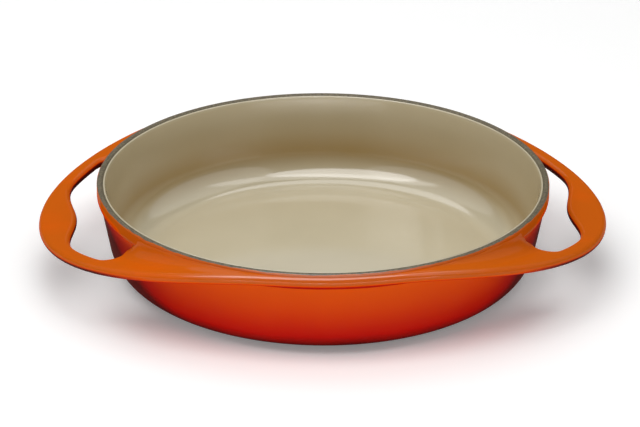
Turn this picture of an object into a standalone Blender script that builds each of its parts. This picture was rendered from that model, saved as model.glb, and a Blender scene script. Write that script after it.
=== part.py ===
# Tarte tatin dish: a round enamelled cast iron baking dish with two loop handles
#
# The dish is one iron casting that carries four coats of enamel: orange outside,
# sand inside, a grey band left bare of colour on the rim, and the foot.
# The origin is on the table under the middle of the dish, the handles lie along X.

import math

import bmesh
import bpy
import numpy as np

# Dish, in metres and degrees
RIM_RADIUS = 0.130
DISH_HEIGHT = 0.055
WALL_LEAN = 11.0
WALL_THICKNESS = 0.0044
FLOOR_THICKNESS = 0.0036
OUTER_CORNER_RADIUS = 0.023
INNER_CORNER_RADIUS = 0.020
COLLAR_HEIGHT = 0.0085
COLLAR_EDGE_RADIUS = 0.002
COLLAR_FOOT_DROP = 0.0005

# Handles and the lip that joins them round the rim
HANDLE_REACH = 0.0336
PLATE_THICKNESS = 0.006
LIP_REACH = 0.0022
LIP_TOP_DROP = 0.0023
TIP_TOP_DROP = 0.0229
PLATE_TILT = 5.4
GRIP_WIDTH = 0.022
ARM_WIDTH = 0.010
OPENING_END_RADIUS = 0.008
SWEEP_TOP_DROP = 0.0018
SWEEP_REACH = 0.009

# Half angles round the dish, measured from the handle axis
OUTLINE_HALF_ANGLE = 84.0
DROP_HALF_ANGLE = 76.0
GRIP_HALF_ANGLE = 18.5
OPENING_HALF_ANGLE = 27.0
SWEEP_FADE_ANGLE = 12.0

# Coats of enamel and the gap that separates two pieces
COAT = 0.0004
CLEARANCE = 0.0003
FOOT_MARGIN = 0.0015

# Fineness of the round shapes
TURN_STEPS = 60
CORNER_STEPS = 6
OPENING_STATIONS = 8
END_STATIONS = 7
WING_STATIONS = 9
END_TURN = 150.0
END_FAN_ANGLE = 18.0
WING_CROWDING = 1.5
TOP_STEPS = 6
BOTTOM_STEPS = 2
STEP_FLOOR = 0.3
EDGE_TURNS = (45.0, 0.0, -45.0)
COLLAR_TURNS = (0.0, -25.0, -50.0, -75.0)
SHARP_ANGLE = 35.0
MERGE_DISTANCE = 0.00001
CUTTER_OVERRUN = 0.004

TIP_RADIUS = RIM_RADIUS + HANDLE_REACH
LIP_RADIUS = RIM_RADIUS + LIP_REACH
HALF_PLATE = PLATE_THICKNESS / 2
INNER_RADIUS = RIM_RADIUS - WALL_THICKNESS / math.cos(math.radians(WALL_LEAN))
CASTING_INSET = COAT + CLEARANCE


def clear_scene():
    for item in list(bpy.data.objects):
        bpy.data.objects.remove(item, do_unlink=True)


def make_collection(name):
    collection = bpy.data.collections.new(name)
    bpy.context.scene.collection.children.link(collection)
    return collection


def make_material(name, colour, roughness, metallic=0.0, coat=0.0):
    material = bpy.data.materials.new(name)
    material.use_nodes = True
    shader = material.node_tree.nodes["Principled BSDF"]
    shader.inputs["Base Color"].default_value = (*colour, 1.0)
    shader.inputs["Roughness"].default_value = roughness
    shader.inputs["Metallic"].default_value = metallic
    shader.inputs["Coat Weight"].default_value = coat
    return material


def bare_iron():
    return make_material("bare_cast_iron", (0.045, 0.043, 0.041), 0.65, metallic=0.8)


def orange_enamel():
    return make_material("orange_vitreous_enamel", (0.66, 0.125, 0.010), 0.16, coat=0.6)


def foot_enamel():
    return make_material("dark_red_vitreous_enamel", (0.25, 0.012, 0.008), 0.30, coat=0.3)


def sand_enamel():
    return make_material("sand_vitreous_enamel", (0.52, 0.44, 0.30), 0.24, coat=0.4)


def grey_enamel():
    return make_material("grey_ground_coat_enamel", (0.18, 0.165, 0.128), 0.60)


# The dish is turned: its profiles are lists of (radius, level)

def wall_radius(radius_at_rim, level):
    return radius_at_rim - (DISH_HEIGHT - level) * math.tan(math.radians(WALL_LEAN))


def corner_centre(radius_at_rim, floor_level, corner_radius):
    level = floor_level + corner_radius
    radius = wall_radius(radius_at_rim, level) - corner_radius / math.cos(math.radians(WALL_LEAN))
    return radius, level


def corner_points(radius_at_rim, floor_level, corner_radius):
    # the arc runs from the leaning wall to the flat floor
    radius, level = corner_centre(radius_at_rim, floor_level, corner_radius)
    angles = np.radians(np.linspace(-WALL_LEAN, -90.0, CORNER_STEPS + 1))
    return [(radius + corner_radius * math.cos(a), level + corner_radius * math.sin(a)) for a in angles]


def outer_side(top_level):
    # collar under the rim, leaning wall, rounded corner, flat foot
    collar_level = DISH_HEIGHT - COLLAR_HEIGHT
    side = [(RIM_RADIUS, top_level)]
    for angle in np.radians(COLLAR_TURNS):
        radius = RIM_RADIUS - COLLAR_EDGE_RADIUS * (1 - math.cos(angle))
        level = collar_level + COLLAR_EDGE_RADIUS * (1 + math.sin(angle))
        side.append((radius, level))
    foot_of_collar = collar_level - COLLAR_FOOT_DROP
    side.append((wall_radius(RIM_RADIUS, foot_of_collar), foot_of_collar))
    side += corner_points(RIM_RADIUS, 0.0, OUTER_CORNER_RADIUS)
    side.append((0.0, 0.0))
    return side


def inner_side(top_level):
    side = [(wall_radius(INNER_RADIUS, top_level), top_level)]
    side += corner_points(INNER_RADIUS, FLOOR_THICKNESS, INNER_CORNER_RADIUS)
    side.append((0.0, FLOOR_THICKNESS))
    return side


def shift_side(side, distance):
    # moves a downward profile along its normals, outward for a positive distance
    points = np.array(side)
    run = np.diff(points, axis=0)
    run /= np.linalg.norm(run, axis=1)[:, None]
    normal = np.stack([-run[:, 1], run[:, 0]], axis=1)
    before = normal[:-1]
    after = normal[1:]
    mitre = (before + after) / (1 + np.sum(before * after, axis=1))[:, None]
    # the top point keeps its level and the last one stays on the axis
    shift = np.vstack([[1 / normal[0, 0], 0.0], mitre, normal[-1]])
    return [tuple(point) for point in points + distance * shift]


def turned_object(name, profile, collection, closed=False):
    mesh = bpy.data.meshes.new(name)
    count = len(profile)
    edges = [(i, i + 1) for i in range(count - 1)]
    if closed:
        edges.append((count - 1, 0))
    mesh.from_pydata([(radius, 0.0, level) for radius, level in profile], edges, [])
    piece = bpy.data.objects.new(name, mesh)
    collection.objects.link(piece)
    screw = piece.modifiers.new("turn", "SCREW")
    screw.steps = TURN_STEPS
    screw.render_steps = TURN_STEPS
    screw.use_merge_vertices = True
    screw.merge_threshold = MERGE_DISTANCE
    return piece


def dish_body(name, inset, top_level, collection):
    side = shift_side(outer_side(top_level), -inset)
    return turned_object(name, [(0.0, top_level)] + side, collection)


# The flange is a plate round the rim that widens into the handles

def raised_cosine(angle, half_angle):
    share = np.minimum(np.abs(angle) / half_angle, 1.0)
    return (1 + np.cos(math.pi * share)) / 2


def outline_radius(angle):
    return LIP_RADIUS + (TIP_RADIUS - LIP_RADIUS) * raised_cosine(angle, OUTLINE_HALF_ANGLE)


def opening_radius(angle):
    swell = (GRIP_WIDTH - ARM_WIDTH) * raised_cosine(angle, GRIP_HALF_ANGLE)
    return outline_radius(angle) - ARM_WIDTH - swell


def top_level_of_plate(angle, radius):
    drop = LIP_TOP_DROP + (TIP_TOP_DROP - LIP_TOP_DROP) * raised_cosine(angle, DROP_HALF_ANGLE)
    tilt = math.tan(math.radians(PLATE_TILT))
    return DISH_HEIGHT - drop + tilt * (outline_radius(angle) - radius)


def sweep_rise(angle, radius, inset):
    # a hollow quarter ellipse lifts the plate to the rim, except beside the openings
    rise = DISH_HEIGHT - SWEEP_TOP_DROP - top_level_of_plate(angle, RIM_RADIUS)
    fade = np.clip((angle - OPENING_HALF_ANGLE) / SWEEP_FADE_ANGLE, 0.0, 1.0)
    fade = fade * fade * (3 - 2 * fade)
    share = np.clip((radius + inset - RIM_RADIUS) / SWEEP_REACH, 0.0, 1.0)
    return np.maximum(rise, 0.0) * fade * (1 - np.sqrt(1 - (1 - share) ** 2))


def polar(radius, angle):
    turn = np.radians(angle)
    return np.stack([radius * np.cos(turn), radius * np.sin(turn)], axis=-1)


def quarter_loops():
    # matching points on the inner and outer outline, from the handle axis to the front
    opening = np.linspace(0.0, OPENING_HALF_ANGLE, OPENING_STATIONS)
    inner = [polar(opening_radius(opening), opening)]
    outer = [polar(outline_radius(opening), opening)]

    # the opening ends in an arc that turns back to the wall
    turn = np.linspace(0.0, END_TURN, END_STATIONS + 1)[1:]
    centre_radius = opening_radius(OPENING_HALF_ANGLE) - OPENING_END_RADIUS
    centre = polar(np.array(centre_radius), OPENING_HALF_ANGLE)
    inner.append(centre + OPENING_END_RADIUS * polar(np.ones_like(turn), OPENING_HALF_ANGLE + turn))
    fan = OPENING_HALF_ANGLE + END_FAN_ANGLE * turn / END_TURN
    outer.append(polar(outline_radius(fan), fan))

    # beyond the opening the plate runs on inside the wall, with its first stations closest
    underside = top_level_of_plate(OPENING_HALF_ANGLE, RIM_RADIUS) - PLATE_THICKNESS
    root_radius = wall_radius(RIM_RADIUS, underside) - WALL_THICKNESS / 2 - HALF_PLATE
    spread = np.linspace(0.0, 1.0, WING_STATIONS + 2)[1:] ** WING_CROWDING
    root = OPENING_HALF_ANGLE + (90.0 - OPENING_HALF_ANGLE) * spread
    wing_start = OPENING_HALF_ANGLE + END_FAN_ANGLE
    wing = wing_start + (90.0 - wing_start) * spread
    inner.append(polar(np.full_like(root, root_radius), root))
    outer.append(polar(outline_radius(wing), wing))
    return np.vstack(inner), np.vstack(outer)


def full_loop(quarter):
    # mirrors a quarter to the other three, without repeating the points on the axes
    half = np.vstack([quarter, quarter[-2::-1] * (-1.0, 1.0)])
    return np.vstack([half, half[-2:0:-1] * (1.0, -1.0)])


def loop_normals(loop):
    # unit normals to the left of the direction of travel, halfway between two edges
    run = np.roll(loop, -1, axis=0) - loop
    run /= np.linalg.norm(run, axis=1)[:, None]
    run += np.roll(run, 1, axis=0)
    run /= np.linalg.norm(run, axis=1)[:, None]
    return np.stack([-run[:, 1], run[:, 0]], axis=1)


def top_shares(inner_core, outer_core):
    # steps across the plate: even at the handles, gathered on the sweep beside the wall
    inner_radius = np.linalg.norm(inner_core, axis=1)
    outer_radius = np.linalg.norm(outer_core, axis=1)
    beside_wall = np.clip(2 * (RIM_RADIUS + SWEEP_REACH - inner_radius) / SWEEP_REACH, 0.0, 1.0)
    shares = [np.zeros_like(inner_radius)]
    for step in range(1, TOP_STEPS):
        even = step / TOP_STEPS
        turn = math.radians(90.0) * (step - 1) / (TOP_STEPS - 2)
        bend_radius = RIM_RADIUS + SWEEP_REACH * (1 - math.cos(turn))
        bend = (bend_radius - inner_radius) / (outer_radius - inner_radius)
        bend = np.clip(bend, even * STEP_FLOOR, 1 - (1 - even) * STEP_FLOOR)
        shares.append(even + beside_wall * (bend - even))
    shares.append(np.ones_like(inner_radius))
    return [share[:, None] for share in shares]


def plate_points(plan, height, inset, lift):
    # height is measured from the middle of the plate, lift is the share of the sweep
    angle = np.degrees(np.arctan2(np.abs(plan[:, 1]), np.abs(plan[:, 0])))
    radius = np.linalg.norm(plan, axis=1)
    middle = top_level_of_plate(angle, radius) - HALF_PLATE
    level = middle + height + lift * sweep_rise(angle, radius, inset)
    return np.column_stack([plan, level])


def flange_sections(inset):
    # one closed section a station: top, outer edge, underside, inner edge
    quarter_inner, quarter_outer = quarter_loops()
    inner = full_loop(quarter_inner)
    outer = full_loop(quarter_outer)
    into_inner = -loop_normals(inner)
    into_outer = loop_normals(outer)
    inner_core = inner + HALF_PLATE * into_inner
    outer_core = outer + HALF_PLATE * into_outer
    half = HALF_PLATE - inset
    rings = []
    for share in top_shares(inner_core, outer_core):
        rings.append(plate_points(inner_core + share * (outer_core - inner_core), half, inset, 1.0))
    for turn in np.radians(EDGE_TURNS):
        edge = plate_points(outer_core, half * math.sin(turn), inset, max(math.sin(turn), 0.0))
        edge[:, :2] -= half * math.cos(turn) * into_outer
        rings.append(edge)
    for share in np.linspace(1.0, 0.0, BOTTOM_STEPS + 1):
        rings.append(plate_points(inner_core + share * (outer_core - inner_core), -half, inset, 0.0))
    for turn in np.radians(EDGE_TURNS[::-1]):
        edge = plate_points(inner_core, half * math.sin(turn), inset, max(math.sin(turn), 0.0))
        edge[:, :2] -= half * math.cos(turn) * into_inner
        rings.append(edge)
    return np.stack(rings, axis=1)


def flange_object(name, inset, collection):
    sections = flange_sections(inset)
    stations, ring, _ = sections.shape
    index = np.arange(stations * ring).reshape(stations, ring)
    onward = np.roll(index, -1, axis=0)
    across = np.roll(index, -1, axis=1)
    opposite = np.roll(onward, -1, axis=1)
    first = np.stack([index, onward, opposite], axis=-1).reshape(-1, 3)
    second = np.stack([index, opposite, across], axis=-1).reshape(-1, 3)
    faces = np.vstack([first, second])
    mesh = bpy.data.meshes.new(name)
    mesh.from_pydata(sections.reshape(-1, 3).tolist(), [], faces.tolist())
    surface = bmesh.new()
    surface.from_mesh(mesh)
    bmesh.ops.recalc_face_normals(surface, faces=surface.faces)
    surface.to_mesh(mesh)
    surface.free()
    piece = bpy.data.objects.new(name, mesh)
    collection.objects.link(piece)
    return piece


def combine(piece, other, operation):
    boolean = piece.modifiers.new(f"{operation.lower()}_{other.name}", "BOOLEAN")
    boolean.operation = operation
    boolean.object = other
    boolean.solver = "EXACT"
    other.hide_render = True
    other.display_type = "WIRE"


def finish(piece, material):
    piece.data.materials.append(material)
    piece.data.shade_smooth()
    piece.data.set_sharp_from_angle(angle=math.radians(SHARP_ANGLE))


def foot_radius():
    return corner_centre(RIM_RADIUS, 0.0, OUTER_CORNER_RADIUS)[0] + FOOT_MARGIN


def flanged_body(name, inset, top_level, collection, cutters):
    # the solid outer form of the dish, moved inward by the inset
    body = dish_body(name, inset, top_level, collection)
    combine(body, flange_object(f"{name}_flange", inset, cutters), "UNION")
    return body


def make_iron_casting(parts, cutters):
    casting = flanged_body("iron_casting", CASTING_INSET, DISH_HEIGHT - CASTING_INSET, parts, cutters)
    above = DISH_HEIGHT + CUTTER_OVERRUN
    hollow_side = shift_side(inner_side(above), CASTING_INSET)
    hollow = turned_object("casting_hollow", [(0.0, above)] + hollow_side, cutters)
    combine(casting, hollow, "DIFFERENCE")
    finish(casting, bare_iron())


def make_exterior_enamel(parts, cutters):
    enamel = flanged_body("exterior_enamel", 0.0, DISH_HEIGHT, parts, cutters)
    inside = flanged_body("enamel_inside", COAT, DISH_HEIGHT + CUTTER_OVERRUN, cutters, cutters)
    radius = foot_radius() + CLEARANCE
    levels = (COAT + CLEARANCE, -CUTTER_OVERRUN)
    foot_profile = [(0.0, levels[0]), (radius, levels[0]), (radius, levels[1]), (0.0, levels[1])]
    foot = turned_object("enamel_foot_opening", foot_profile, cutters)
    combine(enamel, inside, "DIFFERENCE")
    combine(enamel, foot, "DIFFERENCE")
    finish(enamel, orange_enamel())


def make_interior_enamel(parts):
    surface = inner_side(DISH_HEIGHT)
    back = shift_side(surface, COAT)
    enamel = turned_object("interior_enamel", surface[::-1] + back, parts)
    finish(enamel, sand_enamel())


def make_rim_band(parts):
    inner = INNER_RADIUS + CASTING_INSET
    outer = RIM_RADIUS - CASTING_INSET
    bottom = DISH_HEIGHT - COAT
    profile = [(inner, DISH_HEIGHT), (outer, DISH_HEIGHT), (outer, bottom), (inner, bottom)]
    band = turned_object("rim_band", profile, parts, closed=True)
    finish(band, grey_enamel())


def make_base_enamel(parts):
    radius = foot_radius()
    profile = [(0.0, COAT), (radius, COAT), (radius, 0.0), (0.0, 0.0)]
    base = turned_object("base_enamel", profile, parts)
    finish(base, foot_enamel())


def build():
    clear_scene()
    parts = make_collection("tarte_tatin_dish")
    cutters = make_collection("cutters")
    make_iron_casting(parts, cutters)
    make_exterior_enamel(parts, cutters)
    make_interior_enamel(parts)
    make_rim_band(parts)
    make_base_enamel(parts)


build()
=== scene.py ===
import math

import bpy
import numpy as np
from mathutils import Matrix


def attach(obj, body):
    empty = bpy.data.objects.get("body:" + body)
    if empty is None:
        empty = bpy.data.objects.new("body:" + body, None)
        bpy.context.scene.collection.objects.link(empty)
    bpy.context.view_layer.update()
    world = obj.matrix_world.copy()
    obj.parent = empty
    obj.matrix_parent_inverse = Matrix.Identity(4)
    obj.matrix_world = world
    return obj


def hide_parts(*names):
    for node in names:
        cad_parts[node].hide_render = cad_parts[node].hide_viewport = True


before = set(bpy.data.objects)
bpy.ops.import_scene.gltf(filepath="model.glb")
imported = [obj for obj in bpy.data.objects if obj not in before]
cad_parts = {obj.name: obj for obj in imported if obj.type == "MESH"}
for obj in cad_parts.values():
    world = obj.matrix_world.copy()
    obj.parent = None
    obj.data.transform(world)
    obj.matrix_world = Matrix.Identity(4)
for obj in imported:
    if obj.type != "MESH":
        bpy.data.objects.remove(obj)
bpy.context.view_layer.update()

# A round enamelled cast iron baking dish with two loop handles, after a product photograph.
# Shapes are worked out in millimetres and degrees and turned to metres when a mesh is made.
# The origin is on the table under the middle of the dish, and the handles lie along x.

print("frame loaded")


# camera: a long lens in front of the dish, a little above and a little to one side

cameraView = dict(
    elevation=24.172,   # above the table
    turn=-3.131,        # round the dish, from straight ahead
    roll=0.2475,
    level=54.0,         # of the point on the dish's axis that the next three are measured from
    distance=2414.2,
    aside=1.67,         # how far that point lies off the lens axis, sideways
    above=18.91,        # and upwards
    focal=236.25,
    frameWidth=36.0,
    farthest=60.0,      # what the camera still sees, in metres
)


def worldMatrix(right, up, back, place):
    # an object's matrix from its three axes and its place
    matrix = Matrix.Identity(4)
    for column, axis in enumerate((right, up, back, place)):
        for row in range(3):
            matrix[row][column] = axis[row]
    return matrix


def makeCamera(view):
    elevation, turn, roll = (math.radians(view[key]) for key in ("elevation", "turn", "roll"))
    back = np.array([math.sin(turn) * math.cos(elevation), -math.cos(turn) * math.cos(elevation),
                     math.sin(elevation)])
    right = np.cross(-back, (0.0, 0.0, 1.0))
    right /= np.linalg.norm(right)
    up = np.cross(right, -back)
    place = back * view["distance"] - right * view["aside"] - up * view["above"] + (0.0, 0.0, view["level"])
    rolledRight = math.cos(roll) * right + math.sin(roll) * up
    rolledUp = math.cos(roll) * up - math.sin(roll) * right
    lens = bpy.data.cameras.new("longLens")
    lens.lens = view["focal"]
    lens.sensor_width = view["frameWidth"]
    lens.clip_end = view["farthest"]
    camera = bpy.data.objects.new("camera", lens)
    camera.matrix_world = worldMatrix(rolledRight, rolledUp, back, place / 1000)
    bpy.context.scene.collection.objects.link(camera)
    bpy.context.scene.camera = camera


# nodes, meshes and profiles

def linearColour(hexCode):
    # sRGB hex to the linear values that the shaders read
    parts = np.array([int(hexCode[i:i + 2], 16) for i in (1, 3, 5)]) / 255
    curved = ((parts + 0.055) / 1.055) ** 2.4
    return (*np.where(parts <= 0.04045, parts / 12.92, curved).tolist(), 1.0)


def addNode(tree, kind, settings=None, values=None, links=None, stops=None):
    # one node: its settings, the values of its sockets, what feeds it, and a ramp's colours;
    # a mix of colours has no names to go by: socket 0 is its share, and 6 and 7 are the colours
    node = tree.nodes.new(kind)
    for name, value in (settings or {}).items():
        setattr(node, name, value)
    for socket, value in (values or {}).items():
        node.inputs[socket].default_value = value
    for socket, source in (links or {}).items():
        tree.links.new(source, node.inputs[socket])
    if stops:
        elements = node.color_ramp.elements
        elements[0].position, elements[1].position = stops[0][0], stops[-1][0]
        for position, _ in stops[1:-1]:
            elements.new(position)
        for element, (_, colour) in zip(elements, stops):
            element.color = linearColour(colour)
    return node


def newMaterial(name):
    material = bpy.data.materials.new(name)
    material.use_nodes = True
    tree = material.node_tree
    tree.nodes.clear()
    output = addNode(tree, "ShaderNodeOutputMaterial")
    return material, tree, output


def makePiece(name, points, quads, fans, material, attributes=None):
    # a closed mesh from arrays of points, four-sided faces and fans at the axis
    corners = np.vstack([quads[:, [0, 1, 2]], quads[:, [0, 2, 3]], fans])
    first, second, third = (points[corners[:, k]] for k in range(3))
    insideOut = np.einsum("ij,ij->i", first, np.cross(second, third)).sum() < 0
    if insideOut:
        quads, fans = quads[:, ::-1], fans[:, ::-1]
    mesh = bpy.data.meshes.new(name)
    mesh.from_pydata((points / 1000).tolist(), [], quads.tolist() + fans.tolist())
    mesh.shade_smooth()
    for key, values in (attributes or {}).items():
        mesh.attributes.new(key, "FLOAT", "POINT").data.foreach_set("value", values.astype(np.float32))
    mesh.materials.append(material)
    piece = bpy.data.objects.new(name, mesh)
    bpy.context.scene.collection.objects.link(piece)
    print(name, len(quads) * 2 + len(fans), "triangles")
    return piece


def arc(radius, level, size, start, end, count):
    # points (r, z) on a circle of that size round (radius, level), from one angle to another
    angle = np.radians(np.linspace(start, end, count))
    return np.stack([radius + size * np.cos(angle), level + size * np.sin(angle)], axis=1)


def straight(start, end, count):
    # points from start to end, without either
    share = np.linspace(0, 1, count + 2)[1:-1, None]
    return np.array(start) * (1 - share) + np.array(end) * share


def revolved(profile, steps):
    # x = r cos t, y = r sin t, z = z for each profile point (r, z) and each of the steps of t;
    # a point on the axis stays one vertex that its neighbouring ring closes on, and a profile
    # that never touches the axis is closed from its last point to its first
    onAxis = profile[:, 0] == 0.0
    rings = profile[~onAxis]
    turn = np.linspace(0, 2 * np.pi, steps, endpoint=False)
    ringPoints = np.stack([rings[:, :1] * np.cos(turn), rings[:, :1] * np.sin(turn),
                           np.repeat(rings[:, 1:], steps, axis=1)], axis=-1)
    index = np.arange(len(rings) * steps).reshape(len(rings), steps)
    beside = np.roll(index, -1, axis=1)
    after = slice(0, -1) if onAxis.any() else slice(None)
    quads = np.stack([index, np.roll(index, -1, axis=0), np.roll(beside, -1, axis=0), beside],
                     axis=-1)[after].reshape(-1, 4)
    points = ringPoints.reshape(-1, 3)
    fans = np.zeros((0, 3), int)
    for end in (0, -1):
        if onAxis[end]:
            pole = np.full(steps, len(points))
            points = np.vstack([points, (0.0, 0.0, profile[end, 1])])
            pair = (index[end], beside[end]) if end == 0 else (beside[end], index[end])
            fans = np.vstack([fans, np.stack([pole, *pair], axis=1)])
    return points, quads, fans


def smoothStep(value, start, end):
    # 0 at the start and 1 at the end, level at both, whichever of the two is higher
    share = np.clip((value - start) / (end - start), 0, 1)
    return share ** 2 * (3 - 2 * share)


def raisedCosine(angle, half):
    # 1 at angle 0, falling as a cosine wave to 0 at the half angle
    return (1 + np.cos(np.pi * np.minimum(np.abs(angle) / half, 1))) / 2


def hollow(distance, reach):
    # a quarter ellipse: 1 and upright at distance 0, 0 and level at the reach
    share = np.clip(distance / reach, 0, 1)
    return 1 - np.sqrt(1 - (1 - share) ** 2)


def polar(radius, angle):
    # x = r cos t, y = r sin t
    turn = np.radians(angle)
    return np.stack([radius * np.cos(turn), radius * np.sin(turn)], axis=-1)


def quarterAngle(points):
    # how far round from the middle of the nearer handle: 0 there, 90 at the front and the back
    return np.degrees(np.arctan2(np.abs(points[..., 1]), np.abs(points[..., 0])))


# dish: the turned forms share these sizes

dish = dict(
    rim=130.0, height=55.0, lean=11.0,
    wall=4.4, floor=3.6,
    outerCorner=23.0, innerCorner=20.0,             # between wall and floor
    collar=8.5, collarEdge=2.0, collarFoot=0.5,     # the upright band below the rim, and its lower edge
    coat=0.4, gap=0.3,                              # of the enamel, and between it and the iron
    footMargin=1.5,                                 # how far the flat foot reaches into the corner
    steps=384,                                      # round the dish
)
leanSlope = math.tan(math.radians(dish["lean"]))
leanCosine = math.cos(math.radians(dish["lean"]))
innerRim = dish["rim"] - dish["wall"] / leanCosine


def wallRadius(atRim, level):
    # the wall leans out evenly from the floor to its radius at the rim
    return atRim - (dish["height"] - level) * leanSlope


def cornerCentre(atRim, floorLevel, size):
    # radius and level of the centre of the arc of that size that touches both floor and leaning wall
    level = floorLevel + size
    return wallRadius(atRim, level) - size / leanCosine, level


footRadius = cornerCentre(dish["rim"], 0.0, dish["outerCorner"])[0] + dish["footMargin"]


# handles: a plate round the rim that widens into two loops and droops with them

handle = dict(
    reach=33.6, lipReach=2.2,              # beyond the rim, at the tips and along the lip
    tipDrop=22.9, lipDrop=2.3,             # below the rim's top, at the tips and along the lip
    plate=6.0, tilt=5.4,                   # thickness, and how steeply its top rises inwards
    gripWidth=22.0, armWidth=10.0,
    outlineHalf=84.0, dropHalf=76.0, gripHalf=18.5, openingHalf=27.0,   # half the angles they span
    endRadius=8.0, endTurn=150.0,          # the opening's rounded ends
    sweepDrop=1.8, sweepReach=9.0,         # the hollow from the plate's top up to the collar
    sweepFrom=28.2, sweepFade=7.0,         # the angle where it begins, and how long it takes to rise
    fillet=1.8,                            # under the plate, where it meets the wall
    rootDepth=3.2, rootRadius=125.5,       # how deep in the wall the hidden edge lies, and its least radius
    rootShare=0.22, flatStations=9,        # how round that edge is, and how early it starts to flatten
    wingFrom=29.0, wingGather=1.15,        # where that edge starts, and how its stations crowd towards there
    endFan=18.0, neckFan=1.3,              # how far round the outer edge keeps pace with end and neck
    openingStations=46, endStations=28, neckStations=10, wingStations=70, smoothing=6,
    topSteps=26, edgeSteps=12, underSteps=14,
    sweepSteps=0.62, leadSteps=0.12,       # the share of steps to the hollow's end, and of those to its foot
    leastStep=0.25,                        # no step lies nearer to an edge than this share of its even place
    # how the colour runs round the edges, from 0 on top to 1 underneath: where the painted shade sets in
    # and is full on the lip, on a handle's outer and on its inner edge
    lipShade=(0.62, 1.0), outerShade=(0.42, 0.68), innerShade=(0.2, 0.42),
    lipTone=0.85,                          # how deep the shade is under the lip, partly the enamel's red there and partly painted shade
    brighteningShare=(0.0, 0.15), brighteningTone=0.03,   # and a painted brightening on the lip's edge right from the top
    shineRise=(0.0, 0.1), shineFall=(0.28, 0.42),   # where round the lip's edge its gloss is raised to brighten a highlight
    shineFrom=(48.0, 74.0),                # the angles between which that raised gloss sets in
    shadeFrom=(0.4, 0.75),                  # the share of the way out to a handle where painted shade darkens its edges
)


def outlineRadius(angle):
    # the lip's radius, and on it a cosine wave that is highest at the handle's tip
    lip = dish["rim"] + handle["lipReach"]
    return lip + (handle["reach"] - handle["lipReach"]) * raisedCosine(angle, handle["outlineHalf"])


def openingRadius(angle):
    # the outline less an arm's width, with a cosine wave inwards that makes the grip
    swell = (handle["gripWidth"] - handle["armWidth"]) * raisedCosine(angle, handle["gripHalf"])
    return outlineRadius(angle) - handle["armWidth"] - swell


def plateTop(angle, radius):
    # the droop follows a cosine wave round the dish, and the top rises straight inwards
    droop = (handle["tipDrop"] - handle["lipDrop"]) * raisedCosine(angle, handle["dropHalf"])
    rise = math.tan(math.radians(handle["tilt"])) * (outlineRadius(angle) - radius)
    return dish["height"] - handle["lipDrop"] - droop + rise


def sweepRise(angle, radius):
    # the height of the hollow: from the plate's top at the rim to just under the rim's own top
    rise = np.maximum(dish["height"] - handle["sweepDrop"] - plateTop(angle, dish["rim"]), 0)
    fade = smoothStep(angle, handle["sweepFrom"], handle["sweepFrom"] + handle["sweepFade"])
    # the low end of the hollow leans on the wall and the rest on the collar
    wallThere = wallRadius(dish["rim"], plateTop(angle, dish["rim"]))
    foot = wallThere + (dish["rim"] - wallThere) * fade
    return rise * fade * hollow(radius - foot, handle["sweepReach"])


def plateLoops():
    # the plate's inner and outer edge as two loops of matching points, seen from above: a quarter
    # is laid out from the handle's middle to the front and mirrored to the other three
    half, front, wingFrom = handle["openingHalf"], 90.0, handle["wingFrom"]
    opening = np.linspace(0, half, handle["openingStations"], endpoint=False)
    turn = np.linspace(0, handle["endTurn"], handle["endStations"])
    centre = polar(openingRadius(half) - handle["endRadius"], half)
    end = centre + polar(handle["endRadius"], half + turn)
    along = np.linspace(0, 1, handle["wingStations"]) ** handle["wingGather"]
    wingAngle = wingFrom + (front - wingFrom) * along
    middle = plateTop(wingAngle, dish["rim"]) - handle["plate"] / 2
    hidden = np.maximum(wallRadius(dish["rim"], middle) - handle["rootDepth"], handle["rootRadius"])
    wing = polar(hidden, wingAngle)
    neck = straight(end[-1], wing[0], handle["neckStations"])
    inner = np.vstack([polar(openingRadius(opening), opening), end, neck, wing])
    fanEnd = half + handle["endFan"]
    outerAngle = np.concatenate([
        opening, half + handle["endFan"] * turn / handle["endTurn"],
        fanEnd + handle["neckFan"] * np.linspace(0, 1, handle["neckStations"] + 2)[1:-1],
        fanEnd + (front - fanEnd) * (wingAngle - half) / (front - half)])
    outer = polar(outlineRadius(outerAngle), outerAngle)
    # a third column says how round the edge is: fully, but flatter where it is hidden in the wall
    early = handle["flatStations"]
    flatter = np.linspace(1, handle["rootShare"], early + handle["neckStations"] + 2)[1:-1]
    share = np.concatenate([np.ones(len(opening) + len(end) - early), flatter,
                            np.full(len(wing), handle["rootShare"])])
    loops = []
    for quarter in (np.column_stack([inner, share]), np.column_stack([outer, np.ones(len(outer))])):
        halfway = np.vstack([quarter, quarter[-2::-1] * (-1, 1, 1)])
        loop = np.vstack([halfway, halfway[-2:0:-1] * (1, -1, 1)])
        for _ in range(handle["smoothing"]):   # rounds the corner where the opening meets the wall
            loop = (np.roll(loop, 1, axis=0) + 2 * loop + np.roll(loop, -1, axis=0)) / 4
        loops.append(loop)
    return loops


def leftNormal(loop):
    # unit normals of a closed loop, to the left of its run from point to point
    run = np.roll(loop, -1, axis=0) - np.roll(loop, 1, axis=0)
    run /= np.linalg.norm(run, axis=1)[:, None]
    return np.stack([-run[:, 1], run[:, 0]], axis=1)


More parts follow.
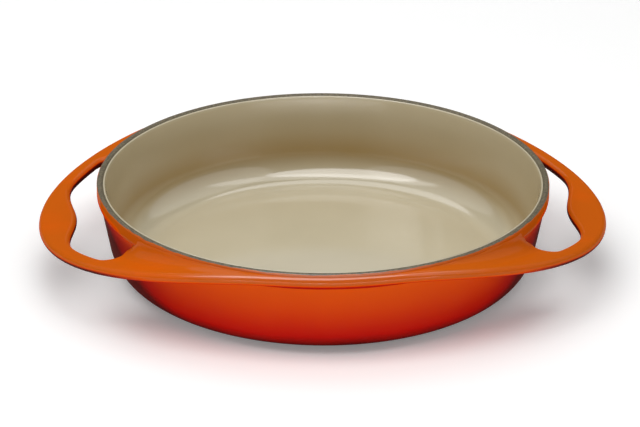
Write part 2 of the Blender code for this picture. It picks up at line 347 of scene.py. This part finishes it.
def acrossShares(inner, outer, foot, reach, steps):
    # how far from the inner to the outer core line each step across the plate is: a few go to the
    # foot of the hollow beside the wall, more follow its quarter ellipse, and the rest are even
    gathered, lead, least = handle["sweepSteps"], handle["leadSteps"], handle["leastStep"]
    innerRadius, outerRadius = (np.linalg.norm(core, axis=1)[:, None] for core in (inner, outer))
    foot = np.broadcast_to(foot, innerRadius.shape)
    even = np.linspace(0, 1, steps + 1)[None, :]
    early = even / gathered
    turn = np.radians(90) * np.clip((early - lead) / (1 - lead), 0, 1)
    bend = innerRadius + (foot - innerRadius) * np.clip(early / lead, 0, 1) + reach * (1 - np.cos(turn))
    beyond = foot + reach + (outerRadius - foot - reach) * (even - gathered) / (1 - gathered)
    radius = np.where(even <= gathered, bend, beyond)
    share = np.clip((radius - innerRadius) / (outerRadius - innerRadius), even * least,
                    1 - (1 - even) * least)
    # where the opening lies between plate and wall there is no hollow, and the steps stay even
    weight = np.clip(2 * (foot + reach - innerRadius) / reach, 0, 1)
    return even + weight * (share - even)


def platePoints(plan, height, lift, fillet, inset):
    # each plan point gets the level of the plate's middle there, plus height, sweep and fillet;
    # an inset plate reads its sweep and fillet that much further out, so they hug the wall closer
    angle, radius = quarterAngle(plan), np.linalg.norm(plan, axis=-1)
    middle = plateTop(angle, radius) - handle["plate"] / 2
    level = middle + height + lift * sweepRise(angle, radius + inset)
    wallThere = wallRadius(dish["rim"], middle - handle["plate"] / 2)
    level = level - fillet * handle["fillet"] * hollow(radius + inset - wallThere, handle["fillet"])
    return np.concatenate([plan, level[..., None]], axis=-1)


def plateFinish(angle, turned, topCount, underCount):
    # the enamel's red with painted shade, the painted dark brown and the raised gloss, as makeOutside
    # has them, for each station and each point round its section: turned says how far round the edge
    # a point is, 0 on top and 1 underneath
    top, below = np.zeros(topCount), np.ones(underCount)
    innerEdge = smoothStep(turned[::-1], *handle["innerShade"])
    # painted shade under the plate's edges, in part the enamel's red underneath, and a painted brightening
    # along the top of the lip
    lip, brightening, loop = (np.concatenate([top, smoothStep(turned, *handle[key]), below, innerEdge])
                       for key in ("lipShade", "brighteningShare", "outerShade"))
    lip = np.maximum(lip * handle["lipTone"], brightening * handle["brighteningTone"])
    atLoop = smoothStep(raisedCosine(angle, handle["outlineHalf"])[:, None], *handle["shadeFrom"])
    redAndShade = lip * (1 - atLoop) + loop * atLoop
    # gloss raised along the top of the lip's edge at front and back, to brighten the lamps' highlight there
    glassy = smoothStep(turned, *handle["shineRise"]) * (1 - smoothStep(turned, *handle["shineFall"]))
    glassy = np.concatenate([top, glassy, np.zeros(underCount + len(turned))])
    highlightBoost = glassy * smoothStep(angle[:, None], *handle["shineFrom"])
    return np.stack([redAndShade, loop * atLoop, highlightBoost]).reshape(3, -1)


def plateSurface(inset=0.0):
    # one closed section at each station: top, outer edge, underside, inner edge,
    # where both edges are half circles as deep as the plate is thick; an inset thins it all round
    (inner, innerShare), (outer, outerShare) = ((loop[:, :2], loop[:, 2:]) for loop in plateLoops())
    half = handle["plate"] / 2
    thick = half - inset
    intoInner, intoOuter = -leftNormal(inner), leftNormal(outer)
    innerCore, outerCore = inner + half * innerShare * intoInner, outer + half * intoOuter
    underside = plateTop(quarterAngle(inner), dish["rim"]) - handle["plate"]
    wallUnder = wallRadius(dish["rim"], underside)[:, None]

    def between(share):
        return innerCore[:, None] + share[..., None] * (outerCore - innerCore)[:, None]

    def edge(core, into, share, turns):
        reach = thick * np.cos(turns)[None, :, None] * share[:, None]
        plan = core[:, None] - reach * into[:, None]
        up = np.sin(turns)[None, :] * np.ones((len(core), 1))
        return platePoints(plan, thick * up, np.maximum(up, 0), np.maximum(-up, 0), inset)

    topShare = acrossShares(innerCore, outerCore, dish["rim"], handle["sweepReach"], handle["topSteps"])
    underShare = acrossShares(innerCore, outerCore, wallUnder, handle["fillet"], handle["underSteps"])
    turns = np.radians(np.linspace(90, -90, handle["edgeSteps"] + 1)[1:-1])
    sections = np.concatenate([
        platePoints(between(topShare), thick, 1.0, 0.0, inset),
        edge(outerCore, intoOuter, outerShare, turns),
        platePoints(between(underShare[:, ::-1]), -thick, 0.0, 1.0, inset),
        edge(innerCore, intoInner, innerShare, turns[::-1])], axis=1)
    finish = plateFinish(quarterAngle(outer), (1 - np.sin(turns)) / 2, topShare.shape[1],
                         underShare.shape[1])
    stations, ring, _ = sections.shape
    index = np.arange(stations * ring).reshape(stations, ring)
    onward = np.roll(index, -1, axis=0)
    quads = np.stack([index, onward, np.roll(onward, -1, axis=1), np.roll(index, -1, axis=1)], axis=-1)
    return sections.reshape(-1, 3), quads.reshape(-1, 4), finish


# outside: collar, leaning wall and rounded corner, with the plate and its handles

outside = dict(
    shoulder=0.6, shoulderDrop=0.92, shoulderTurn=125.0,   # the coat's rounded edge beside the grey band
    edgeTurn=76.0,                                # of the rounded lower edge of the collar
    creaseHold=0.02,                              # a last point this far off keeps the crease crisp
    shoulderPoints=12, collarPoints=5, edgePoints=9, wallPoints=16, cornerPoints=30,
    backEvery=4, backDepth=0.1, backRise=0.05,    # the coat's hidden back, plainer and well in
    toneTop=46.0, toneFoot=4.0, wallTone=0.1,     # levels that the shading runs between, and its start
    # painted shade in the crease under the lip: how deep, and the levels where it rises, holds and fades
    creaseTone=0.6, creaseLevels=(44.8, 45.8, 46.6, 48.6),
    behindTone=0.88, behindTop=52.0,              # painted shade: how much redder the wall behind the handles gets, and from which level
    # painted shade: a dark brown-red on the wall behind the handles, how strong and between which levels
    behindShadeStrength=0.75, shadeTop=47.0, shadeFoot=40.0, behindHalf=50.0,
    rootDrop=4.5, rootAngle=29.5, rootHalf=7.0,   # the painted shade behind a handle starts lower where it leaves the wall, so the orange reaches lower there
    shoulderBand=(-2.0, -1.5), shoulderFrom=(58.0, 80.0),   # levels and angles where the shoulder's gloss is raised to brighten a highlight
    seamTop=0.35, seamWidth=1.0,                  # how far below the crown the seam lies, and grey creeps in
)


def outerProfile():
    # down the outside from the rim to the foot, then back up inside the coat
    rim, shoulder, edge, corner = dish["rim"], outside["shoulder"], dish["collarEdge"], dish["outerCorner"]
    shoulderLevel = dish["height"] - outside["shoulderDrop"]
    collarLevel = dish["height"] - dish["collar"]
    creaseLevel = collarLevel - dish["collarFoot"]
    creaseRadius = wallRadius(rim, creaseLevel)
    centre, centreLevel = cornerCentre(rim, 0.0, corner)
    lastAngle = -math.degrees(math.acos((dish["footMargin"] + dish["gap"]) / corner))
    outer = np.vstack([
        arc(rim - shoulder, shoulderLevel, shoulder, outside["shoulderTurn"], 0, outside["shoulderPoints"]),
        straight((rim, shoulderLevel), (rim, collarLevel + edge), outside["collarPoints"]),
        arc(rim - edge, collarLevel + edge, edge, 0, -outside["edgeTurn"], outside["edgePoints"]),
        [(creaseRadius + outside["creaseHold"], creaseLevel)],
        straight((creaseRadius, creaseLevel), (wallRadius(rim, centreLevel), centreLevel),
                 outside["wallPoints"]),
        arc(centre, centreLevel, corner, -dish["lean"], lastAngle, outside["cornerPoints"]),
    ])
    back = outer[outside["shoulderPoints"] - 1::outside["backEvery"]][::-1]
    return np.vstack([outer, back - (dish["coat"] + outside["backDepth"], -outside["backRise"])])


def makeOutside(material):
    wall, wallQuads, fans = revolved(outerProfile(), dish["steps"])
    plate, plateQuads, (plateRedAndShade, plateShade, plateHighlightBoost) = plateSurface()
    level, angle = wall[:, 2], quarterAngle(wall)
    top, foot = outside["toneTop"], outside["toneFoot"]
    # the orange deepens down the wall, and painted shade darkens the crease under the lip at once
    down = np.clip((top - level) / (top - foot), 0, 1)
    shaded = np.where(level < top, outside["wallTone"] + (1 - outside["wallTone"]) * down, 0)
    creaseShade = outside["creaseTone"] * np.interp(level, outside["creaseLevels"], (0, 1, 1, 0))
    # painted shade behind the handles: the red starts higher up there, apart from their roots
    root = raisedCosine(angle - outside["rootAngle"], outside["rootHalf"])
    hidden = raisedCosine(angle, outside["behindHalf"])
    behindShade = hidden * smoothStep(level + outside["rootDrop"] * root, outside["behindTop"], top)
    shaded = np.maximum(shaded + outside["behindTone"] * behindShade, creaseShade * (1 - root))
    # painted shade: a dark brown-red low on the wall behind the handles
    paintedShade = outside["behindShadeStrength"] * hidden * smoothStep(level, outside["shadeTop"], outside["shadeFoot"])
    seam = 1 - (dish["height"] - outside["seamTop"] - level) / outside["seamWidth"]
    shoulder = smoothStep(level - dish["height"], *outside["shoulderBand"])
    highlightBoost = shoulder * smoothStep(angle, *outside["shoulderFrom"])
    return makePiece(
        "exteriorEnamel", np.vstack([wall, plate]), np.vstack([wallQuads, plateQuads + len(wall)]), fans,
        material, dict(
            redAndShade=np.concatenate([np.minimum(shaded, 1), plateRedAndShade]),           # how red the orange gets, painted shade included
            seam=np.concatenate([np.clip(seam, 0, 1), np.zeros(len(plate))]),  # how near the grey band is
            paintedShade=np.concatenate([paintedShade, plateShade]),                            # painted dark brown-red shade
            highlightBoost=np.concatenate([highlightBoost, plateHighlightBoost])))                        # gloss raised to brighten the lamps' highlight


# inside: wall, cove and floor under the sand coat

inside = dict(
    bead=0.6, beadDrop=0.6, beadFrom=20.0,   # the coat's rounded edge beside the grey band
    beadHold=0.15,                           # a last point this far below keeps the bead crisp
    beadPoints=9, wallPoints=18, covePoints=48, floorPoints=14,
    backEvery=3, backShift=(0.2, 0.1),       # the coat's hidden back, plainer and a little further in
    # how much painted shade deepens the wall at each height: most at the top of the cove, none on the floor
    # and on the bead
    wallShadeAt=[(8.0, 0.0), (14.0, 0.45), (22.0, 1.0), (33.0, 0.56), (46.0, 0.26), (53.2, 0.2), (53.8, 0.0)],
)


def makeInside(material):
    # the face runs from the rim in to the middle, and the back from the middle out
    bead = inside["bead"]
    beadLevel = dish["height"] - inside["beadDrop"] - bead
    beadRadius = wallRadius(innerRim, beadLevel)
    holdLevel = beadLevel - inside["beadHold"]
    cove, coveLevel = cornerCentre(innerRim, dish["floor"], dish["innerCorner"])
    corner = arc(cove, coveLevel, dish["innerCorner"], -dish["lean"], -90, inside["covePoints"])
    face = np.vstack([
        arc(beadRadius + bead, beadLevel, bead, inside["beadFrom"], 180 - dish["lean"] / 2,
            inside["beadPoints"]),
        [(wallRadius(innerRim, holdLevel), holdLevel)],
        straight((beadRadius, beadLevel), corner[0], inside["wallPoints"]), corner,
        straight(corner[-1], (0.0, dish["floor"]), inside["floorPoints"]), [(0.0, dish["floor"])],
    ])
    back = face[::-1] - (0.0, dish["coat"])
    beside = back[inside["floorPoints"]:-inside["beadPoints"] - 1:inside["backEvery"]]
    profile = np.vstack([back[:1], beside + inside["backShift"], face])
    points, quads, fans = revolved(profile, dish["steps"])
    wallShade = np.interp(points[:, 2], *np.transpose(inside["wallShadeAt"]))
    return makePiece("interiorEnamel", points, quads, fans, material, dict(wallShade=wallShade))


# rim and foot

rimBand = dict(
    # radius and height above the rim's top, from the outer foot over the crown to the inner foot
    profile=[(129.6, -1.2), (129.6, -0.5), (129.58, -0.38), (129.45, -0.27), (129.2, -0.17), (128.8, -0.07),
             (128.4, 0.0), (127.95, -0.05), (127.55, -0.17), (127.2, -0.32), (126.9, -0.48), (126.68, -0.66),
             (126.54, -0.86), (126.48, -1.05), (126.46, -1.3)],
)
footCoat = dict(
    edgeRound=0.15, spread=0.12,   # the rounded lower edge, and how far it spreads past the flat foot
    topPoints=8, edgePoints=6, underPoints=16,
)


def makeRimBand(material):
    profile = np.array(rimBand["profile"]) + (0.0, dish["height"])
    points, quads, fans = revolved(profile, dish["steps"])
    return makePiece("rimBand", points, quads, fans, material)


def makeFoot(material):
    edge, thick = footCoat["edgeRound"], dish["coat"]
    radius = footRadius + footCoat["spread"]
    profile = np.vstack([
        [(0.0, thick)], straight((0.0, thick), (radius, thick), footCoat["topPoints"]),
        [(radius, thick)], arc(radius - edge, edge, edge, 0, -90, footCoat["edgePoints"]),
        straight((radius - edge, 0.0), (0.0, 0.0), footCoat["underPoints"]), [(0.0, 0.0)]])
    points, quads, fans = revolved(profile, dish["steps"])
    return makePiece("footEnamel", points, quads, fans, material)


# iron under the coats, seen only in the hairlines between them

iron = dict(
    inset=dish["coat"] + dish["gap"],
    topDrop=1.4,                    # below the rim's top, clear of the grey band
    flatPoints=6, roundPoints=16,
)


def makeIron(material):
    # the sections of wall, floor and plate, thinner by a coat and a gap on every side
    inset, flat, rounded = iron["inset"], iron["flatPoints"], iron["roundPoints"]
    top, under = dish["height"] - iron["topDrop"], dish["floor"] - inset
    outerSide, innerSide = dish["rim"] - inset / leanCosine, innerRim + inset / leanCosine
    corner, cornerLevel = cornerCentre(dish["rim"], 0.0, dish["outerCorner"])
    cove, coveLevel = cornerCentre(innerRim, dish["floor"], dish["innerCorner"])
    profile = np.vstack([
        [(0.0, inset)], straight((0.0, inset), (corner, inset), flat),
        arc(corner, cornerLevel, dish["outerCorner"] - inset, -90, -dish["lean"], rounded),
        [(wallRadius(outerSide, top), top), (wallRadius(innerSide, top), top)],
        arc(cove, coveLevel, dish["innerCorner"] + inset, -dish["lean"], -90, rounded),
        straight((cove, under), (0.0, under), flat), [(0.0, under)]])
    body, bodyQuads, fans = revolved(profile, dish["steps"])
    plate, plateQuads, _ = plateSurface(inset)
    return makePiece("ironCasting", np.vstack([body, plate]),
                     np.vstack([bodyQuads, plateQuads + len(body)]), fans, material)


# materials

def perMetre(size):
    # the scale of a noise whose lumps are that many millimetres apart
    return 1000 / size


def grainBump(tree, coordinates, size, strength, depth, detail=2.0):
    # fine unevenness: how far apart its bumps are and how deep, in millimetres
    noise = addNode(tree, "ShaderNodeTexNoise", values={"Scale": perMetre(size), "Detail": detail},
                    links={"Vector": coordinates})
    return addNode(tree, "ShaderNodeBump", values={"Strength": strength, "Distance": depth / 1000},
                   links={"Height": noise.outputs["Fac"]}).outputs["Normal"]


def orangeEnamel():
    # vitreous enamel, sprayed and fired: a glassy skin, orange above and shaded to red below,
    # where the last coat is sprayed from over the rim, with painted shade under the lip, behind the
    # handles and round their edges; the gloss is all in the clear coat, which thins out with that
    # spray towards the foot and is raised on the lip's edge and shoulder to brighten the lamps'
    # highlight there, and whose high index at a low weight keeps it from growing steeply at a glance
    material, tree, output = newMaterial("orangeVitreousEnamel")
    place = addNode(tree, "ShaderNodeTexCoord").outputs["Object"]
    # the enamel's own red, with painted shade under the lip, behind the handles and under their edges
    redAndShade = addNode(tree, "ShaderNodeAttribute", dict(attribute_name="redAndShade")).outputs["Fac"]
    cloud = addNode(tree, "ShaderNodeTexNoise", values={"Scale": perMetre(29.4), "Detail": 2.0},
                    links={"Vector": place})
    drift = addNode(tree, "ShaderNodeMath", dict(operation="MULTIPLY_ADD"), {1: 0.10, 2: -0.05},
                    {0: cloud.outputs["Fac"]})
    shaded = addNode(tree, "ShaderNodeMath", dict(operation="ADD", use_clamp=True),
                     links={0: redAndShade, 1: drift.outputs[0]})
    colour = addNode(tree, "ShaderNodeValToRGB", links={"Fac": shaded.outputs[0]}, stops=[
        (0.0, "#CD5F0E"), (0.12, "#F25B02"), (0.28, "#EC5102"), (0.50, "#E13E02"), (0.70, "#D32202"),
        (0.82, "#C90F02"), (1.0, "#6D0704")])
    gloss = addNode(tree, "ShaderNodeMapRange", dict(interpolation_type="SMOOTHSTEP"),
                    {"From Min": 0.02, "From Max": 0.1, "To Min": 0.1, "To Max": 0.045}, {"Value": redAndShade})
    # gloss raised on the lip and shoulder to brighten the lamps' highlight there
    highlightBoost = addNode(tree, "ShaderNodeAttribute", dict(attribute_name="highlightBoost")).outputs["Fac"]
    glassy = addNode(tree, "ShaderNodeMath", dict(operation="MULTIPLY_ADD", use_clamp=True), {1: 0.6},
                     {0: highlightBoost, 2: gloss.outputs["Result"]})
    # the grey coat creeps over the edge by up to half a millimetre, unevenly round the rim
    seam = addNode(tree, "ShaderNodeAttribute", dict(attribute_name="seam")).outputs["Fac"]
    creep = addNode(tree, "ShaderNodeTexNoise", values={"Scale": perMetre(9.09), "Detail": 3.0},
                    links={"Vector": place})
    reach = addNode(tree, "ShaderNodeMath", dict(operation="ADD"), links={0: seam, 1: creep.outputs["Fac"]})
    worn = addNode(tree, "ShaderNodeMapRange", dict(interpolation_type="SMOOTHSTEP"),
                   {"From Min": 1.35, "From Max": 1.45}, {"Value": reach.outputs[0]})
    mixed = addNode(tree, "ShaderNodeMix", dict(data_type="RGBA"), {7: linearColour("#6B665B")},
                    {0: worn.outputs["Result"], 6: colour.outputs["Color"]})
    # painted shade: a dark brown-red on the turned edges and undersides of the handles, and low on the wall
    # behind them
    paintedShade = addNode(tree, "ShaderNodeAttribute", dict(attribute_name="paintedShade")).outputs["Fac"]
    shadedEdges = addNode(tree, "ShaderNodeMix", dict(data_type="RGBA"), {7: linearColour("#4E1A10")},
                    {0: paintedShade, 6: mixed.outputs[2]})
    bump = grainBump(tree, place, 2.38, 0.05, 0.4)
    shader = addNode(tree, "ShaderNodeBsdfPrincipled",
                     values={"Roughness": 0.35, "Specular IOR Level": 0.0, "Coat Roughness": 0.08,
                             "Coat IOR": 2.2},
                     links={"Base Color": shadedEdges.outputs[2], "Coat Weight": glassy.outputs[0],
                            "Normal": bump, "Coat Normal": bump})
    tree.links.new(shader.outputs[0], output.inputs["Surface"])
    return material


def sandEnamel():
    # interior enamel, poured and fired: an even warm stone colour with a soft shine, with painted
    # shade making it deeper on the steep wall
    material, tree, output = newMaterial("sandVitreousEnamel")
    place = addNode(tree, "ShaderNodeTexCoord").outputs["Object"]
    cloud = addNode(tree, "ShaderNodeTexNoise", values={"Scale": perMetre(45.5), "Detail": 3.0},
                    links={"Vector": place})
    colour = addNode(tree, "ShaderNodeValToRGB", links={"Fac": cloud.outputs["Fac"]}, stops=[
        (0.3, "#C8BDA0"), (0.7, "#CCC1A4")])
    # painted shade on the wall, towards a deep brown
    wallShade = addNode(tree, "ShaderNodeAttribute", dict(attribute_name="wallShade")).outputs["Fac"]
    shadedWallColour = addNode(tree, "ShaderNodeMix", dict(data_type="RGBA"), {7: linearColour("#A08450")},
                         {0: wallShade, 6: colour.outputs["Color"]})
    bump = grainBump(tree, place, 3.33, 0.03, 0.4)
    shader = addNode(tree, "ShaderNodeBsdfPrincipled",
                     values={"Roughness": 0.3, "Specular IOR Level": 0.0, "Coat Weight": 1.0,
                             "Coat Roughness": 0.12, "Coat IOR": 2.0},
                     links={"Base Color": shadedWallColour.outputs[2], "Normal": bump})
    tree.links.new(shader.outputs[0], output.inputs["Surface"])
    return material


def greyGroundCoat():
    # ground coat wiped bare along the rim: dull, grainy and a little uneven
    material, tree, output = newMaterial("greyGroundCoatEnamel")
    place = addNode(tree, "ShaderNodeTexCoord").outputs["Object"]
    grain = addNode(tree, "ShaderNodeTexNoise", values={"Scale": perMetre(1.11), "Detail": 3.0},
                    links={"Vector": place})
    colour = addNode(tree, "ShaderNodeValToRGB", links={"Fac": grain.outputs["Fac"]}, stops=[
        (0.3, "#4C4535"), (0.5, "#675E49"), (0.75, "#82765D")])
    bump = grainBump(tree, place, 0.714, 0.25, 0.3, 3.0)
    shader = addNode(tree, "ShaderNodeBsdfPrincipled", values={"Roughness": 0.55},
                     links={"Base Color": colour.outputs["Color"], "Normal": bump})
    tree.links.new(shader.outputs[0], output.inputs["Surface"])
    return material


def footEnamelRed():
    # the same enamel at the foot, dark and dulled by standing on shelves
    material, tree, output = newMaterial("darkRedVitreousEnamel")
    place = addNode(tree, "ShaderNodeTexCoord").outputs["Object"]
    cloud = addNode(tree, "ShaderNodeTexNoise", values={"Scale": perMetre(16.7), "Detail": 5.0},
                    links={"Vector": place})
    colour = addNode(tree, "ShaderNodeValToRGB", links={"Fac": cloud.outputs["Fac"]}, stops=[
        (0.3, "#7A0F08"), (0.55, "#8C140A"), (0.8, "#9C1C0D")])
    gloss = addNode(tree, "ShaderNodeMapRange", values={"To Min": 0.22, "To Max": 0.42},
                    links={"Value": cloud.outputs["Fac"]})
    bump = grainBump(tree, place, 3.85, 0.12, 0.5)
    shader = addNode(tree, "ShaderNodeBsdfPrincipled", links={
        "Base Color": colour.outputs["Color"], "Roughness": gloss.outputs["Result"], "Normal": bump})
    tree.links.new(shader.outputs[0], output.inputs["Surface"])
    return material


def bareIron():
    # cast iron as it leaves the sand: dark, rough and grainy, in the hairline between two coats
    material, tree, output = newMaterial("bareCastIron")
    place = addNode(tree, "ShaderNodeTexCoord").outputs["Object"]
    grain = addNode(tree, "ShaderNodeTexNoise", values={"Scale": perMetre(1.43), "Detail": 4.0},
                    links={"Vector": place})
    colour = addNode(tree, "ShaderNodeValToRGB", links={"Fac": grain.outputs["Fac"]}, stops=[
        (0.3, "#2A2624"), (0.7, "#47413D")])
    bump = grainBump(tree, place, 1.11, 0.4, 0.4, 3.0)
    shader = addNode(tree, "ShaderNodeBsdfPrincipled", values={"Metallic": 0.8, "Roughness": 0.62},
                     links={"Base Color": colour.outputs["Color"], "Normal": bump})
    tree.links.new(shader.outputs[0], output.inputs["Surface"])
    return material


# stage: floor, world and studio lamps, in metres and degrees

stage = dict(
    floorSize=30.0, floorColour="#F6F6F5",
    floorDrop=0.00002,   # a hair below the foot, so that the two never coincide
    floorLift=0.20,      # white that only the camera, gloss and glass see on top of the lit floor
    worldColour="#C9CCD2", worldStrength=0.15,
)
softBoxes = dict(
    # elevation is measured from the front horizon, over the top to the back, and azimuth turns
    # a box round the dish towards the right; aside shifts it sideways. The three overhead boxes
    # show as the bright crescent halfway up the cove, a line below it and one at the floor's edge
    overheadFront=dict(shape="ELLIPSE", azimuth=0.0, elevation=70.5, distance=1.6, aside=-0.4,
                       width=2.0, depth=0.95, radiance=2.5),
    overheadWide=dict(shape="ELLIPSE", azimuth=0.0, elevation=84.0, distance=1.62, aside=-0.12,
                      width=3.4, depth=0.55, radiance=1.1),
    overheadBack=dict(shape="ELLIPSE", azimuth=0.0, elevation=117.0, distance=1.6, aside=-0.12,
                      width=1.3, depth=1.2, radiance=1.6),
    # each of these two lights the far flank of the cove
    sideLeft=dict(shape="ELLIPSE", azimuth=-85.0, elevation=42.0, distance=1.7, aside=0.0,
                  width=2.8, depth=1.8, radiance=0.5),
    sideRight=dict(shape="ELLIPSE", azimuth=85.0, elevation=42.0, distance=1.7, aside=0.0,
                   width=2.8, depth=1.8, radiance=0.5),
    # a strip near the horizon that lights the outer wall, and the top of the inner one at the back
    lowFront=dict(shape="RECTANGLE", azimuth=0.0, elevation=2.6, distance=3.4, aside=0.0,
                  width=5.0, depth=0.17, radiance=8.0),
    # a faint sheen on the floor of the dish
    backPanel=dict(shape="RECTANGLE", azimuth=0.0, elevation=156.0, distance=3.0, aside=0.0,
                   width=0.6, depth=0.8, radiance=0.45),
)


def makeFloor(settings):
    material, tree, output = newMaterial("paleStudioFloor")
    diffuse = addNode(tree, "ShaderNodeBsdfDiffuse", values={"Color": linearColour(settings["floorColour"])})
    rays = addNode(tree, "ShaderNodeLightPath")
    seen = addNode(tree, "ShaderNodeMath", dict(operation="MAXIMUM"), links={
        0: rays.outputs["Is Camera Ray"], 1: rays.outputs["Is Glossy Ray"]})
    shown = addNode(tree, "ShaderNodeMath", dict(operation="MAXIMUM"), links={
        0: seen.outputs[0], 1: rays.outputs["Is Transmission Ray"]})
    lift = addNode(tree, "ShaderNodeMath", dict(operation="MULTIPLY"), {1: settings["floorLift"]},
                   {0: shown.outputs[0]})
    glow = addNode(tree, "ShaderNodeEmission", links={"Strength": lift.outputs[0]})
    both = addNode(tree, "ShaderNodeAddShader", links={0: diffuse.outputs[0], 1: glow.outputs[0]})
    tree.links.new(both.outputs[0], output.inputs["Surface"])
    half = settings["floorSize"] / 2
    mesh = bpy.data.meshes.new("studioFloor")
    mesh.from_pydata([(-half, -half, 0), (half, -half, 0), (half, half, 0), (-half, half, 0)], [],
                     [(0, 1, 2, 3)])
    mesh.materials.append(material)
    floor = bpy.data.objects.new("studioFloor", mesh)
    floor.location.z = -settings["floorDrop"]
    bpy.context.scene.collection.objects.link(floor)


def makeWorld(settings):
    world = bpy.data.worlds.new("studioWorld")
    world.use_nodes = True
    tree = world.node_tree
    tree.nodes.clear()
    light = addNode(tree, "ShaderNodeBackground", values={
        "Color": linearColour(settings["worldColour"]), "Strength": settings["worldStrength"]})
    addNode(tree, "ShaderNodeOutputWorld", links={"Surface": light.outputs[0]})
    bpy.context.scene.world = world


def makeSoftBox(name, box):
    # a flat lamp that faces the dish, as bright as its radiance all over
    lamp = bpy.data.lights.new(name, "AREA")
    lamp.shape = box["shape"]
    lamp.size, lamp.size_y = box["width"], box["depth"]
    fullness = math.pi / 4 if box["shape"] == "ELLIPSE" else 1.0
    lamp.energy = box["radiance"] * math.pi * box["width"] * box["depth"] * fullness
    elevation, azimuth = math.radians(box["elevation"]), math.radians(box["azimuth"])
    side = np.array([math.cos(azimuth), math.sin(azimuth), 0.0])
    away = np.cross((0.0, 0.0, 1.0), side) * -math.cos(elevation) + (0.0, 0.0, math.sin(elevation))
    place = away * box["distance"] + side * box["aside"]
    lampObject = bpy.data.objects.new(name, lamp)
    lampObject.matrix_world = worldMatrix(side, np.cross(away, side), away, place)
    bpy.context.scene.collection.objects.link(lampObject)


# the whole scene

makeCamera(cameraView)
makeFloor(stage)
makeWorld(stage)
for lampName, lampBox in softBoxes.items():
    makeSoftBox(lampName, lampBox)
print("stage ready")

pieces = [
    (makeOutside(orangeEnamel()), "exterior_enamel", "orange_enamel"),
    (makeInside(sandEnamel()), "interior_enamel", "sand_enamel"),
    (makeRimBand(greyGroundCoat()), "rim_band", "rim_ground_coat"),
    (makeFoot(footEnamelRed()), "base_enamel", "foot_enamel"),
    (makeIron(bareIron()), "iron_casting", "cast_iron"),
]
for piece, node, slotName in pieces:
    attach(piece, "root")
    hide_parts(node)
print("pieces placed")

bpy.context.scene.view_settings.view_transform = "Standard"
